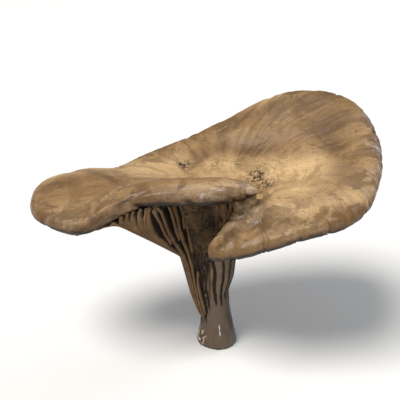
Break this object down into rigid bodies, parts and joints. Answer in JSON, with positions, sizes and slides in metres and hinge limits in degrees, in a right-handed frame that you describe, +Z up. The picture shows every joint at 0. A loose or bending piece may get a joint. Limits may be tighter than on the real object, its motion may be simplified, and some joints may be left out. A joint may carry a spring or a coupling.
{
  "type": "bracket fungus",
  "caption": "Stalked bracket fungus: a thick wavy cap curled round a cleft into a shallow funnel, gills running down to a short stem cut off flat.",
  "frame": {"origin": "middle of the flat cut at the foot of the stem, which rests on the floor", "axes": "+Z up the stem, +X towards the broad raised lobe of the cap, -Y towards the cleft"},
  "size_m": [0.1461, 0.0879, 0.105],
  "materials": {
    "cap_skin": "satin, moist, mottled tan and brown",
    "gill_flesh": "satin, tan-brown blades with dark gaps",
    "stem_flesh": "glossy, moist, grey-brown"
  },
  "bodies": {
    "root": {"cap": "cap_skin", "gills": "gill_flesh", "stem": "stem_flesh"}
  },
  "joints": []
}
